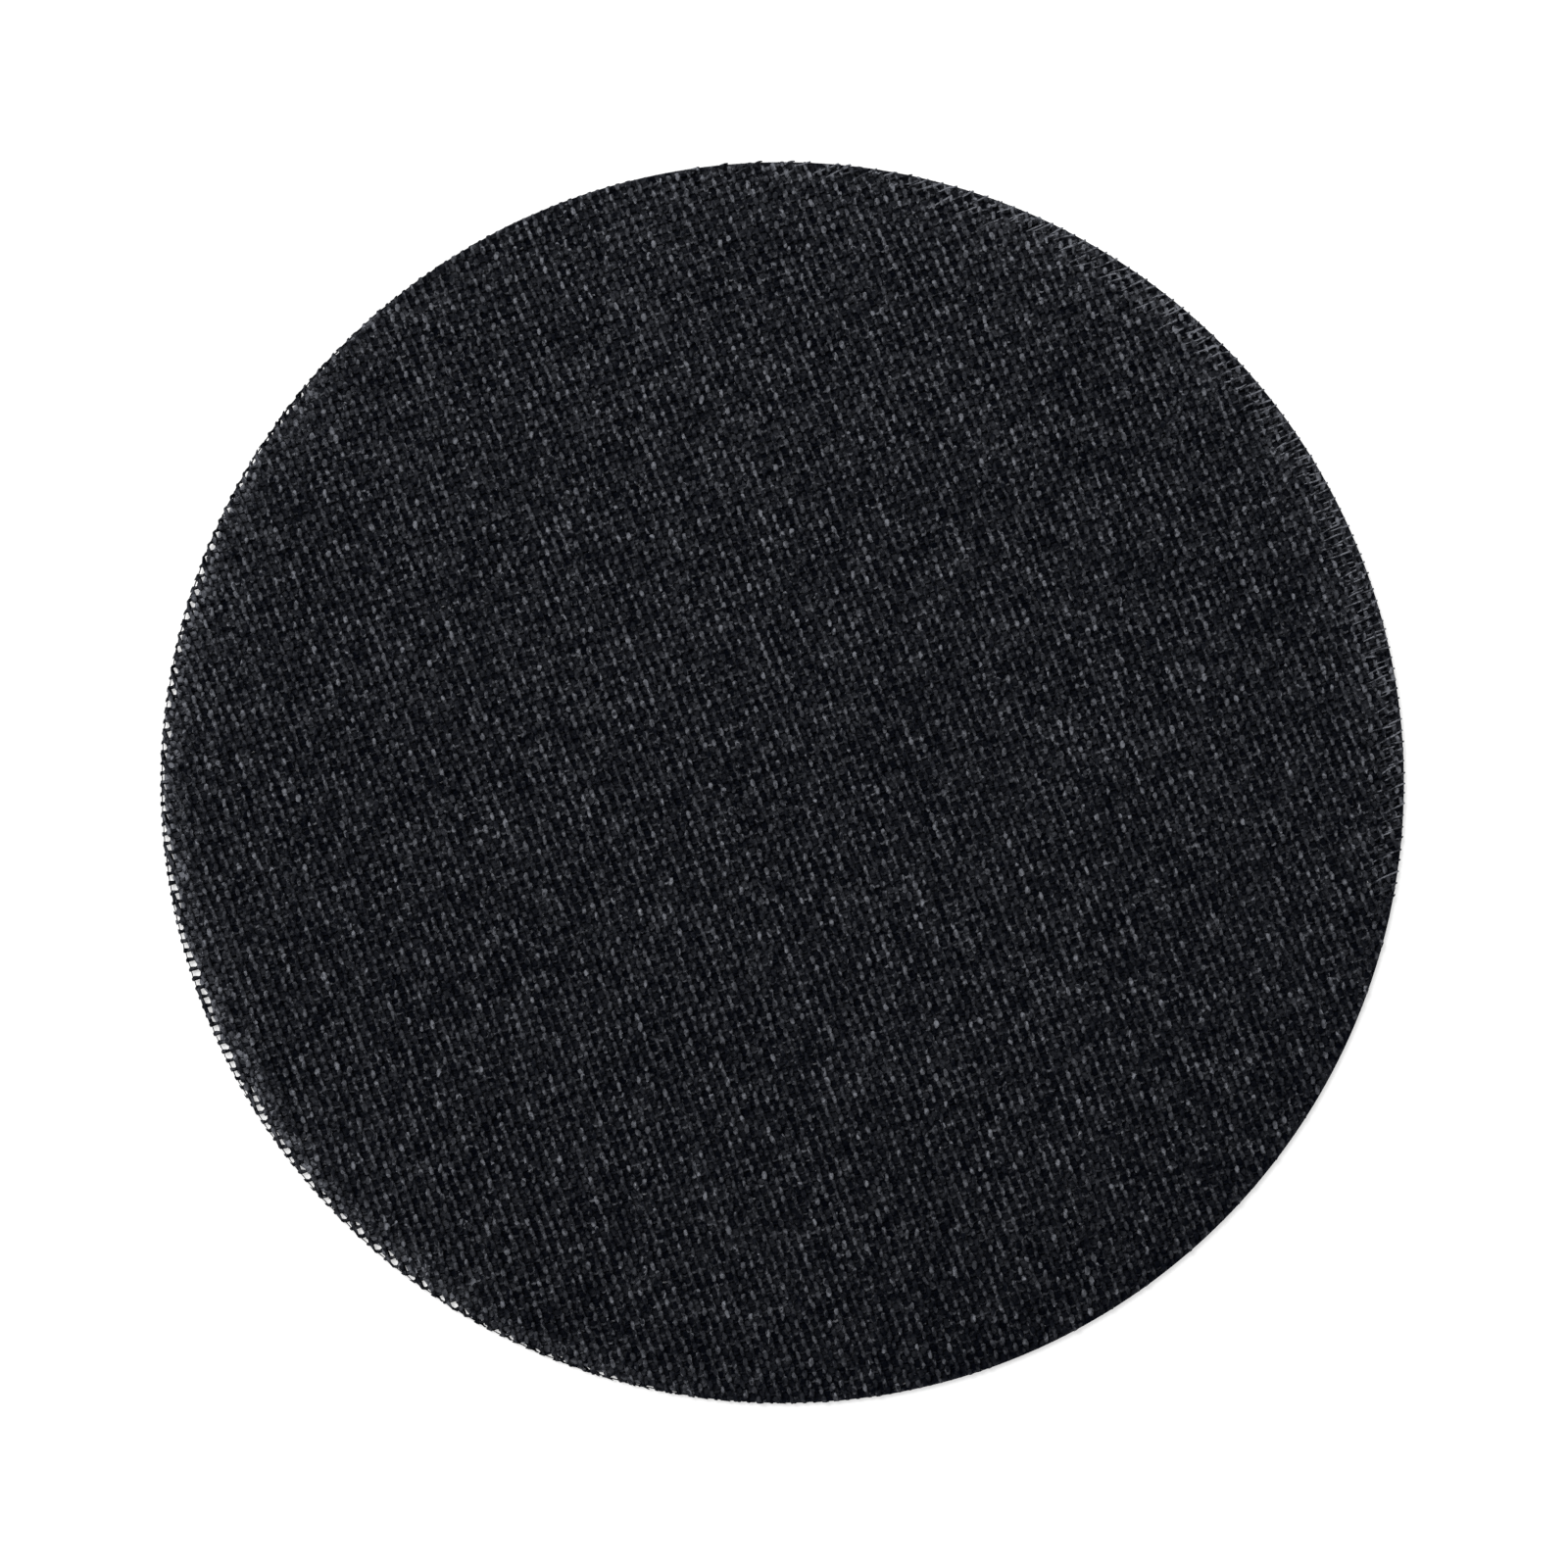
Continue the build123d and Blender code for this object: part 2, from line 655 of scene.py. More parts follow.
class Piece:
    """A mesh made from arrays, which then rides on the disc."""

    def __init__(
        self, name: str, points: Array, faces: Iterable[Iterable[int]], smooth: bool = True
    ) -> None:
        """Builds the mesh.

        Args:
            name: The piece's name.
            points: Its points, in the part's frame.
            faces: The numbers of each face's points.
            smooth: Whether it is shaded as one soft surface.
        """
        self.mesh = bpy.data.meshes.new(name)
        corners = [list(face) for face in faces]
        self.mesh.from_pydata(np.asarray(points).reshape(-1, 3).tolist(), [], corners)
        self.mesh.polygons.foreach_set("use_smooth", [smooth] * len(corners))
        self.object = bpy.data.objects.new(name, self.mesh)
        bpy.context.scene.collection.objects.link(self.object)

    def points(self) -> Array:
        """Reads the piece's points.

        Returns:
            One row for each point.
        """
        points = np.zeros(len(self.mesh.vertices) * 3, np.float32)
        self.mesh.vertices.foreach_get("co", points)
        return points.reshape(-1, 3)

    def keep_tone(self, net: Net, tone: Array) -> None:
        """Keeps each point's tone in the mesh, with the net's painted light and shade and its rim tone
        there added.

        Args:
            net: The net, which knows the painted light and rim tone.
            tone: The tone of each point, beside the painted light and rim tone.
        """
        layer = self.mesh.attributes.new("tone", "FLOAT", "POINT")
        # adds the painted light and shade of the net and its rim
        values = np.ravel(tone) + net.painted_light_and_rim_tone(self.points())
        layer.data.foreach_set("value", values.astype(np.float32))

    def lay_out(self, net: Net) -> None:
        """Lays the piece out flat for its textures, upper faces in one half and lower in the other.

        Args:
            net: The net, whose wales the layout follows.
        """
        points = self.points()
        corner = np.zeros(len(self.mesh.loops), np.int32)
        self.mesh.loops.foreach_get("vertex_index", corner)
        normal = np.zeros(len(self.mesh.polygons) * 3, np.float32)
        self.mesh.polygons.foreach_get("normal", normal)
        sides = np.zeros(len(self.mesh.polygons), np.int32)
        self.mesh.polygons.foreach_get("loop_total", sides)
        under = np.repeat(normal.reshape(-1, 3)[:, 2] < 0, sides)
        flat = np.stack([points[:, :2] @ net.along_wale, points[:, :2] @ net.across_wale], axis=1)
        low, high = flat.min(0), flat.max(0)
        place = (MAP_MARGIN + (1 - 2 * MAP_MARGIN) * (flat - low) / (high - low))[corner]
        place[:, 1] = place[:, 1] / 2 + 0.5 * under
        layer = self.mesh.uv_layers.new(name=BAKE_MAP)
        layer.data.foreach_set("uv", place.astype(np.float32).ravel())

    def dress(self, net: Net, tone: Array, material: bpy.types.Material) -> None:
        """Gives the piece its tone and finish, fixes it to the disc and reports it.

        Args:
            net: The net that it is part of.
            tone: The tone of each point.
            material: Its finish.
        """
        self.keep_tone(net, tone)
        self.mesh.materials.append(material)
        self.lay_out(net)
        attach(self.object, BODY)
        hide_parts(NODE)
        self.mesh.calc_loop_triangles()
        log.info("%s: %d triangles", self.object.name, len(self.mesh.loop_triangles))


class SubPart(Protocol):
    """What each part of the net can do."""

    def build(self, net: Net, finish: bpy.types.Material) -> None:
        """Builds the part's pieces on the net and dresses them."""


def tube_faces(strands: int, rings: int, sides: int, start: int = 0) -> list[list[int]]:
    """The faces of closed tubes, each of as many rings.

    Args:
        strands: How many tubes there are.
        rings: The rings in each, from one end to the other.
        sides: The points in a ring, anticlockwise as seen from the tube's far end.
        start: The number of the first point.

    Returns:
        The sides of the tubes, then the caps at both ends of each.
    """
    first = start + (np.arange(strands) * rings * sides)[:, None, None]
    ring = (np.arange(rings - 1) * sides)[None, :, None]
    side = np.arange(sides)[None, None, :]
    after = (side + 1) % sides
    corners = [side, after, after + sides, side + sides]
    faces = np.stack([first + ring + c for c in corners], axis=-1).reshape(-1, 4).tolist()
    near = first[:, 0] + np.arange(sides)
    return faces + near[:, ::-1].tolist() + (near + (rings - 1) * sides).tolist()


@dataclass
class WaleStitches:
    """The stitches on the grit side: one short leaf of coated yarn for each stitch.

    A leaf's middle rises by a share of its arch, and its tips fall by the whole of it. The
    rings' places are shares of the half length, out from the middle.
    """

    length: float = 1.24 * MM
    length_range: Range = (0.88, 1.10)
    half_width: float = 0.31 * MM
    width_range: Range = (0.82, 1.18)
    half_height: float = 0.215 * MM
    place_jitter: float = 0.055 * MM
    lean: float = math.radians(12.0)
    turn_jitter: float = math.radians(7.0)
    lift_jitter: float = 0.035 * MM
    arch: float = 0.14 * MM
    middle_share: float = 0.5
    sides: int = 6
    ring_places: tuple[float, ...] = (-0.70, 0.0, 0.70)
    ring_sizes: tuple[float, ...] = (0.77, 1.0, 0.77)
    grit_relief: float = 0.030 * MM
    rim: float = 0.15 * MM
    clear_rim: float = 0.48 * MM
    tone: float = 0.09
    uneven: float = 0.30
    groups: int = 3
    seed: int = 5

    def shape(self, net: Net, wales: Array, courses: Array, rng: np.random.Generator) -> Array:
        """Shapes the leaves.

        Args:
            net: The net that they lie on.
            wales: The wale number of each.
            courses: The course number of each.
            rng: Where their unevenness comes from.

        Returns:
            The points of each leaf: a tip, the rings and the other tip.
        """
        count = len(wales)
        middle = net.places(wales, courses) + rng.normal(0, self.place_jitter, (count, 2))
        turn = net.wale_turn - self.lean + rng.normal(0, self.turn_jitter, count)
        along, across = along_and_across(turn)
        half_length = self.length / 2 * rng.uniform(*self.length_range, count)
        width = self.half_width * rng.uniform(*self.width_range, count)
        lift = rng.normal(0, self.lift_jitter, count)
        around = even_turns(self.sides)
        rings = []
        for place, size in zip(self.ring_places, self.ring_sizes):
            relief = rng.normal(0, self.grit_relief, (count, self.sides))
            flat = middle + along * (place * half_length)[:, None]
            bow = self.arch * (self.middle_share - place * place)
            path = at_height(flat, Layer.STITCH.value + lift + bow)
            wide, high = width[:, None] * size + relief, self.half_height * size + relief
            rings.append(rings_round(path, across, wide, high, around))
        tips = []
        for end in (-1.0, 1.0):
            flat = middle + along * (end * half_length)[:, None]
            tips.append(at_height(flat, Layer.STITCH.value - self.arch + lift)[:, None])
        return np.concatenate([tips[0], *rings, tips[1]], axis=1)

    def faces(self, count: int) -> list[list[int]]:
        """The faces of the leaves: a fan at each tip and bands between the rings.

        Args:
            count: How many leaves there are.

        Returns:
            The faces.
        """
        rings, sides = len(self.ring_places), self.sides
        size = rings * sides + 2
        last = 1 + (rings - 1) * sides
        leaf = []
        for side in range(sides):
            after = (side + 1) % sides
            leaf += [[0, 1 + side, 1 + after], [size - 1, last + after, last + side]]
            for ring in range(1, last, sides):
                above = ring + sides
                leaf.append([ring + side, above + side, above + after, ring + after])
        return [[number * size + point for point in face] for number in range(count) for face in leaf]

    def build(self, net: Net, finish: bpy.types.Material) -> None:
        """Builds the leaves in groups of neighbouring wales and dresses them.

        Args:
            net: The net that they lie on.
            finish: Their finish.
        """
        rng = np.random.default_rng(self.seed)
        wales, courses = net.stitches(self.rim, self.clear_rim)
        edges = np.quantile(wales, np.linspace(0, 1, self.groups + 1))
        edges[-1] += 1
        for group in range(self.groups):
            mine = (wales >= edges[group]) & (wales < edges[group + 1])
            count = int(mine.sum())
            points = net.cut(self.shape(net, wales[mine], courses[mine], rng))
            tone = rng.normal(self.tone, self.uneven, count)
            piece = Piece(f"wale_stitches_{group + 1}", points, self.faces(count))
            piece.dress(net, np.repeat(tone, points.shape[1]), finish)


@dataclass
class Strands:
    """Yarns that run right across the disc, each as one tube.

    The shoulder is how much a yarn's half width grows at each wale, all to one side, and the
    dip is how much lower it lies there.
    """

    name: str
    layer: Layer
    way: Way
    rings_per_stitch: float
    half_width: float
    half_height: float
    tone: float
    seed: int
    shoulder: float = 0.0
    dip: float = 0.0
    clear_rim: float = 0.0
    width_jitter: float = 0.020 * MM
    height_jitter: float = 0.012 * MM
    uneven: float = 0.5
    sides: int = 3

    def runs(self, net: Net) -> list[Array]:
        """Finds each yarn's way, from one side of the cut to the other.

        Args:
            net: The net that the yarns run through.

        Returns:
            The lattice numbers along each yarn.
        """
        fine = np.arange(-net.half_count, net.half_count, 1 / self.rings_per_stitch)
        found = []
        for number in np.arange(-net.half_count, net.half_count + 1):
            fixed = np.full_like(fine, float(number))
            wales, courses = (fine, fixed) if self.way is Way.ALONG_COURSE else (fixed, fine)
            inside = np.flatnonzero(net.inside(net.places(wales, courses), 0.0, self.clear_rim))
            if len(inside) > 1:
                keep = slice(max(inside[0] - 1, 0), inside[-1] + 2)
                found.append(np.stack([wales[keep], courses[keep]], axis=1))
        return found

    def tube(self, net: Net, run: Array, rng: np.random.Generator) -> Array:
        """Shapes one yarn.

        Args:
            net: The net that it runs through.
            run: The lattice numbers along it.
            rng: Where its unevenness comes from.

        Returns:
            The points of its rings.
        """
        middle = net.places(run[:, 0], run[:, 1])
        ahead = np.gradient(middle, axis=0)
        ahead /= np.linalg.norm(ahead, axis=1, keepdims=True)
        side = np.stack([-ahead[:, 1], ahead[:, 0]], axis=1)
        at_wale = np.cos(2 * math.pi * run[:, 0]) * 0.5 + 0.5
        wider = self.shoulder * at_wale
        width = self.half_width + wider + rng.normal(0, self.width_jitter, len(run))
        height = self.layer.value - self.dip * at_wale + rng.normal(0, self.height_jitter, len(run))
        path = at_height(middle + side * wider[:, None], height)
        around = math.pi / 2 + even_turns(self.sides)
        return net.cut(rings_round(path, side, width[:, None], self.half_height, around))

    def build(self, net: Net, finish: bpy.types.Material) -> None:
        """Builds the yarns as one piece and dresses it.

        Args:
            net: The net that they run through.
            finish: Their finish.
        """
        rng = np.random.default_rng(self.seed)
        points, faces, tones, start = [], [], [], 0
        for run in self.runs(net):
            points.append(self.tube(net, run, rng).reshape(-1, 3))
            tones.append(np.repeat(rng.normal(self.tone, self.uneven, len(run)), self.sides))
            faces += tube_faces(1, len(run), self.sides, start)
            start += len(points[-1])
        Piece(self.name, np.concatenate(points), faces).dress(net, np.concatenate(tones), finish)


# painted shade: the cores' low tone darkens them where they show between and under the leaves
WALE_CORES = Strands(
    name="wale_cores", layer=Layer.CORE, way=Way.ALONG_WALE, rings_per_stitch=1.0,
    half_width=0.24 * MM, half_height=0.20 * MM, tone=-0.60, seed=3,
    clear_rim=0.36 * MM, sides=4,
)
WEFT_YARNS = Strands(
    name="weft_yarns", layer=Layer.WEFT, way=Way.ALONG_COURSE, rings_per_stitch=2.0,
    half_width=0.23 * MM, half_height=0.15 * MM, tone=-0.70, seed=4,
    shoulder=0.12 * MM, dip=0.03 * MM,
)
LOOP_ROWS = Strands(
    name="loop_rows", layer=Layer.LOOPS, way=Way.ALONG_WALE, rings_per_stitch=0.5,
    half_width=0.34 * MM, half_height=0.17 * MM, tone=-0.30, seed=6,
    clear_rim=0.90 * MM,
)


@dataclass
class LoopGround:
    """The ground that the pile loops stand in: a dark mat under the net.

    It is packed up to the cut edge, but for the left side, where it stops short of the edge and
    the outermost holes are clear. Its last rings there are painted lighter: painted light that
    stands in for the lit ground seen through the holes. Its heights are those of its lower and
    its upper face.
    """

    height: Range = (0.29 * MM, 0.43 * MM)
    rim_height: Range = (0.05 * MM, 0.86 * MM)
    rim: float = 0.45 * MM
    rim_rings: int = 2
    clear_most: float = 0.86 * MM
    ragged: float = 0.9 * MM
    # painted light: the tones of the last rings at the clear rim, for the lit ground seen through the
    # holes
    painted_ground_light: tuple[float, ...] = (2.3, 3.0, 3.2)
    rings: int = 32
    sectors: int = 320
    relief: float = 0.030 * MM
    seed: int = 23

    def rings_out(self, net: Net, clear: Array, rng: np.random.Generator) -> Array:
        """Sets out the rings, with the last ones close together at the rim.

        Args:
            net: The net over the mat.
            clear: How clear the rim is at each sector.
            rng: Where the ragged edge comes from.

        Returns:
            How far out each ring lies at each sector.
        """
        ragged = rng.uniform(-1, 1, self.sectors) * self.ragged / 2
        edge = net.radius - clear * (self.clear_most + ragged)
        inner = np.linspace(0, 1, self.rings - 1)[1:, None] * (edge - self.rim)[None, :]
        return np.concatenate([inner, (edge - self.rim / 2)[None, :], edge[None, :]])

    def faces(self) -> list[list[int]]:
        """The faces of the lower and the upper sheet and of the edge between them.

        Returns:
            The faces, for points by sheet, ring and sector, and then the two middles.
        """
        sectors, sheet = self.sectors, self.rings * self.sectors
        last = sheet - sectors
        made = []
        for near in range(sectors):
            after = (near + 1) % sectors
            made += [[2 * sheet, after, near], [2 * sheet + 1, sheet + near, sheet + after]]
            for ring in range(0, last, sectors):
                low = [ring + near, ring + after, ring + sectors + after, ring + sectors + near]
                made += [low, [sheet + low[corner] for corner in (0, 3, 2, 1)]]
            made.append([last + near, last + after, sheet + last + after, sheet + last + near])
        return made

    def build(self, net: Net, finish: bpy.types.Material) -> None:
        """Args:
            net: The net over the mat.
            finish: Its finish.
        """
        rng = np.random.default_rng(self.seed)
        angle = even_turns(self.sectors)
        clear = CLEAR_RIM.share(angle)
        out = self.rings_out(net, clear, rng)
        packed = np.zeros(out.shape)
        packed[-self.rim_rings :] = 1 - clear
        flat = out[..., None] * heading(angle)
        sheets = []
        for low, high in zip(self.height, self.rim_height):
            level = low + (high - low) * packed
            height = level + rng.normal(0, self.relief, out.shape)
            height[-1] = level[-1]
            sheets.append(at_height(flat, height).reshape(-1, 3))
        middles = [[0, 0, height] for height in self.height]
        points = net.cut(np.concatenate([*sheets, middles]))
        tone = np.zeros(out.shape)
        # painted light: the last rings at the clear rim are lighter, for the lit ground seen through the
        # holes
        tone[-len(self.painted_ground_light) :] = np.array(self.painted_ground_light)[:, None] * clear
        piece = Piece("loop_ground", points, self.faces())
        piece.dress(net, np.concatenate([tone.ravel(), tone.ravel(), [0.0, 0.0]]), finish)


@dataclass
class CutEdge:
    """The bead of resin and yarn ends along the cut: one uneven ring."""

    half_width: float = 0.11 * MM
    width_range: Range = (0.55, 1.15)
    half_height: float = 0.28 * MM
    height_range: Range = (0.7, 1.1)
    height_jitter: float = 0.05 * MM
    inset_share: float = 1.15
    wander: float = 0.05 * MM
    step_in: float = 0.08 * MM
    step_in_range: Range = (0.6, 1.4)
    clear_thinner: float = 0.75
    step: float = 0.45 * MM
    tone: float = -1.0
    fringe_tone: float = 1.7
    sides: int = 6
    seed: int = 61

    def faces(self, count: int) -> list[list[int]]:
        """The faces of the ring.

        Args:
            count: How many rings of points it has along its way.

        Returns:
            The faces.
        """
        made = []
        for number in range(count):
            ring, ahead = number * self.sides, (number + 1) % count * self.sides
            for side in range(self.sides):
                after = (side + 1) % self.sides
                made.append([ring + side, ahead + side, ahead + after, ring + after])
        return made

    def build(self, net: Net, finish: bpy.types.Material) -> None:
        """Builds the bead and dresses it.

        Args:
            net: The net that is cut there.
            finish: The bead's finish.
        """
        rng = np.random.default_rng(self.seed)
        count = round(2 * math.pi * net.radius / self.step)
        angle = even_turns(count)
        outward = heading(angle)
        clear = CLEAR_RIM.share(angle)
        width = self.half_width * rng.uniform(*self.width_range, count)
        width = width * (1 - self.clear_thinner * clear)
        middle = net.radius - self.half_width * self.inset_share - self.wander * rng.uniform(0, 1, count)
        middle = middle - clear * self.step_in * rng.uniform(*self.step_in_range, count)
        height = Layer.WEFT.value + rng.normal(0, self.height_jitter, count)
        half_height = self.half_height * rng.uniform(*self.height_range, count)
        path = at_height(outward * middle[:, None], height)
        wide, high = width[:, None], half_height[:, None]
        points = rings_round(path, outward, wide, high, even_turns(self.sides))
        tone = self.tone + self.fringe_tone * FRINGED_RIM.share(angle)
        Piece("cut_edge", points, self.faces(count)).dress(net, np.repeat(tone, self.sides), finish)


@dataclass
class RimFibres:
    """Lighter yarn ends that lie over the edge at the upper right, along the courses.

    Every second one is an inner one: it starts further in and lies a little lower.
    """

    first: float = math.radians(-12.0)
    last: float = math.radians(98.0)
    spacing: float = 0.60 * MM
    place_jitter: float = 0.12 * MM
    lean: float = math.radians(4.0)
    turn_jitter: float = math.radians(4.5)
    longest: float = 3.1 * MM
    length_range: Range = (0.45, 1.0)
    yarn: float = 0.12 * MM
    height_share: float = 0.8
    thin_share: float = 0.30
    taper_from: float = 0.45
    taper_run: float = 0.5
    above: float = 0.15 * MM
    height_jitter: float = 0.02 * MM
    crown: float = 0.04 * MM
    inner_drop: float = 0.05 * MM
    inner_range: Range = (0.3 * MM, 1.8 * MM)
    reach: float = 0.12 * MM
    reach_range: Range = (-0.3, 1.0)
    curl: float = 0.05 * MM
    curl_range: Range = (3.0, 7.0)
    rings: int = 8
    sides: int = 5
    tone: float = 1.25
    uneven: float = 0.50
    end_tone: float = 0.45
    fade: float = 1.4
    seed: int = 71

    def inner(self, count: int) -> Array:
        """1 for each inner fibre and 0 for each other one."""
        return np.arange(count) % 2

    def paths(self, net: Net, rng: np.random.Generator) -> tuple[Array, Array, Array]:
        """Lays out the fibres' middle lines.

        Args:
            net: The net that they lie on.
            rng: Where their unevenness comes from.

        Returns:
            The angle round the disc that each starts at, the points of its line, and the way
            across it.
        """
        course = net.course_turn + self.lean
        ends = [net.radius * math.sin(end - course) for end in (self.first, self.last)]
        beside = np.arange(*ends, self.spacing)
        count = len(beside)
        jitter = rng.normal(0, self.place_jitter, count)
        angle = course + np.arcsin((beside + jitter) / net.radius)
        start = net.radius + self.reach * rng.uniform(*self.reach_range, count)
        start = start - self.inner(count) * rng.uniform(*self.inner_range, count)
        along, across = along_and_across(course + rng.normal(0, self.turn_jitter, count))
        inward, side = -across, -along
        run = np.linspace(0, 1, self.rings)
        length = self.longest * rng.uniform(*self.length_range, count)
        phase = rng.uniform(0, 2 * math.pi, count)[:, None]
        sway = self.curl * np.sin(run[None, :] * rng.uniform(*self.curl_range, count)[:, None] + phase)
        first = heading(angle) * start[:, None]
        flat = first[:, None] + inward[:, None] * (run * length[:, None])[..., None]
        flat = flat + side[:, None] * sway[..., None]
        height = Layer.STITCH.value + self.above + self.crown * np.sin(math.pi * run)[None, :]
        height = height + rng.normal(0, self.height_jitter, (count, 1))
        return angle, at_height(flat, height - self.inner_drop * self.inner(count)[:, None]), side

    def build(self, net: Net, finish: bpy.types.Material) -> None:
        """Builds the fibres as one piece and dresses it.

        Args:
            net: The net that they lie on.
            finish: Their finish.
        """
        rng = np.random.default_rng(self.seed)
        angle, path, side = self.paths(net, rng)
        count = len(angle)
        run = np.linspace(0, 1, self.rings)
        taper = np.sin(math.pi * (self.taper_from + self.taper_run * run))
        thick = (self.yarn * (self.thin_share + (1 - self.thin_share) * taper))[:, None]
        around = even_turns(self.sides)
        points = rings_round(path, side[:, None], thick, self.height_share * thick, around)
        from_middle = (angle - (self.first + self.last) / 2) / ((self.last - self.first) / 2)
        tone = self.tone - self.fade * from_middle**2 + rng.normal(0, self.uneven, count)
        outer = 1 - self.inner(count)[:, None]
        tone = tone[:, None] + outer * self.end_tone * (1 - run)[None, :]
        tone = tone + rng.normal(0, self.uneven, tone.shape)
        faces = tube_faces(count, self.rings, self.sides)
        piece = Piece("rim_fibres", net.cut(points, over=self.reach), faces)
        piece.dress(net, np.repeat(tone, self.sides), finish)


@dataclass
class PileLoops:
    """The loops on the back: small bows of yarn that stand down from the mat to the pad."""

    every: int = 3
    rim: float = 0.9 * MM
    place_jitter: float = 0.12 * MM
    lean_jitter: float = 0.12 * MM
    span: float = 0.85 * MM
    drop_range: Range = (0.75, 1.0)
    yarn: float = 0.055 * MM
    lowest_yarns: float = 1.2
    rings: int = 5
    sides: int = 3
    tone: float = 0.3
    uneven: float = 0.6
    seed: int = 31

    def bows(self, net: Net, rng: np.random.Generator) -> tuple[Array, Array]:
        """Lays out the loops' middle lines.

        Args:
            net: The net that they hang from.
            rng: Where their unevenness comes from.

        Returns:
            The points of each line, and the way across it.
        """
        wales, courses = net.stitches(self.rim)
        mine = (wales + courses) % self.every == 0
        count = int(mine.sum())
        middle = net.places(wales[mine], courses[mine]) + rng.normal(0, self.place_jitter, (count, 2))
        side, ahead = along_and_across(rng.uniform(0, math.pi, count))
        arc = np.linspace(0, math.pi, self.rings)
        low, high = self.yarn * self.lowest_yarns, Layer.GROUND.value
        drop = (high - low) * rng.uniform(*self.drop_range, count)
        lean = rng.normal(0, self.lean_jitter, (count, 2))
        flat = middle[:, None] - ahead[:, None] * (self.span / 2 * np.cos(arc))[None, :, None]
        flat = flat + lean[:, None] * np.sin(arc)[None, :, None]
        return at_height(flat, high - drop[:, None] * np.sin(arc)), side

    def build(self, net: Net, finish: bpy.types.Material) -> None:
        """Builds the loops as one piece and dresses it.

        Args:
            net: The net that they hang from.
            finish: Their finish.
        """
        rng = np.random.default_rng(self.seed)
        bows, side = self.bows(net, rng)
        count = len(bows)
        points = rings_round(bows, side[:, None], self.yarn, self.yarn, even_turns(self.sides))
        faces = tube_faces(count, self.rings, self.sides)
        tone = np.repeat(rng.normal(self.tone, self.uneven, count), self.rings * self.sides)
        Piece("pile_loops", net.cut(points), faces).dress(net, tone, finish)


@dataclass
class LooseGrain:
    """The grains that stand proud of the coat, each a small broken crystal with four corners."""

    count: int = 14000
    size_range: Range = (0.045 * MM, 0.105 * MM)
    rim: float = 0.6 * MM
    lean: float = math.radians(15.0)
    along: float = 1.0 * MM
    across: float = 0.13 * MM
    across_most: float = 0.24 * MM
    crown: float = 0.27 * MM
    end_fall: float = 0.45 * MM
    side_fall: float = 0.20 * MM
    half_width: float = 0.26 * MM
    tone: float = 0.6
    uneven: float = 0.6
    seed: int = 47

    def middles(self, net: Net, rng: np.random.Generator) -> Array:
        """Strews the grains over the stitches' upper sides.

        Args:
            net: The net that they lie on.
            rng: Where their places come from.

        Returns:
            The middle of each grain.
        """
        wales, courses = net.stitches(self.rim)
        pick = rng.integers(0, len(wales), self.count)
        run = rng.uniform(-0.5, 0.5, self.count)
        beside = rng.normal(0, self.across, self.count).clip(-self.across_most, self.across_most)
        along, across = along_and_across(net.wale_turn - self.lean)
        flat = net.places(wales[pick], courses[pick]) + along * (run * self.along)[:, None]
        height = Layer.STITCH.value + self.crown - self.side_fall * (beside / self.half_width) ** 2
        return at_height(flat + across * beside[:, None], height - self.end_fall * run**2)

    def crystals(self, rng: np.random.Generator) -> Array:
        """Turns and sizes a crystal for each grain.

        Args:
            rng: Where their turns and sizes come from.

        Returns:
            The four corners of each, about its middle.
        """
        spin = rng.normal(0, 1, (self.count, 4))
        spin /= np.linalg.norm(spin, axis=1, keepdims=True)
        w, x, y, z = spin.T
        turned = np.stack(
            [
                np.stack([1 - 2 * (y * y + z * z), 2 * (x * y - z * w), 2 * (x * z + y * w)], -1),
                np.stack([2 * (x * y + z * w), 1 - 2 * (x * x + z * z), 2 * (y * z - x * w)], -1),
                np.stack([2 * (x * z - y * w), 2 * (y * z + x * w), 1 - 2 * (x * x + y * y)], -1),
            ],
            axis=1,
        )
        corners = np.array([[1, 1, 1], [1, -1, -1], [-1, 1, -1], [-1, -1, 1]]) / math.sqrt(3)
        size = rng.uniform(*self.size_range, self.count)
        return np.einsum("nij,kj->nki", turned, corners) * size[:, None, None]

    def build(self, net: Net, finish: bpy.types.Material) -> None:
        """Builds the grains as one piece and dresses it.

        Args:
            net: The net that they lie on.
            finish: Their finish.
        """
        rng = np.random.default_rng(self.seed)
        points = self.middles(net, rng)[:, None] + self.crystals(rng)
        sides = ((0, 1, 2), (0, 3, 1), (0, 2, 3), (1, 3, 2))
        firsts = range(0, 4 * self.count, 4)
        faces = [[first + corner for corner in side] for first in firsts for side in sides]
        piece = Piece("loose_grain", net.cut(points), faces, smooth=False)
        piece.dress(net, np.repeat(rng.normal(self.tone, self.uneven, self.count), 4), finish)


def facing(sight: Vector) -> Euler:
    """The rotation of a lamp or a camera that looks along a line of sight."""
    return sight.to_track_quat("-Z", "Y").to_euler()


@dataclass(frozen=True)
class Lamp:
    """A square soft lamp that faces the disc."""

    name: str
    place: tuple[float, float, float]
    side: float
    power: float

    def hang(self) -> None:
        """Hangs the lamp in its place."""
        data = bpy.data.lights.new(self.name, "AREA")
        data.shape, data.size, data.energy = "SQUARE", self.side, self.power
        lamp = bpy.data.objects.new(self.name, data)
        lamp.location = self.place
        lamp.rotation_euler = facing(-Vector(self.place))
        bpy.context.scene.collection.objects.link(lamp)


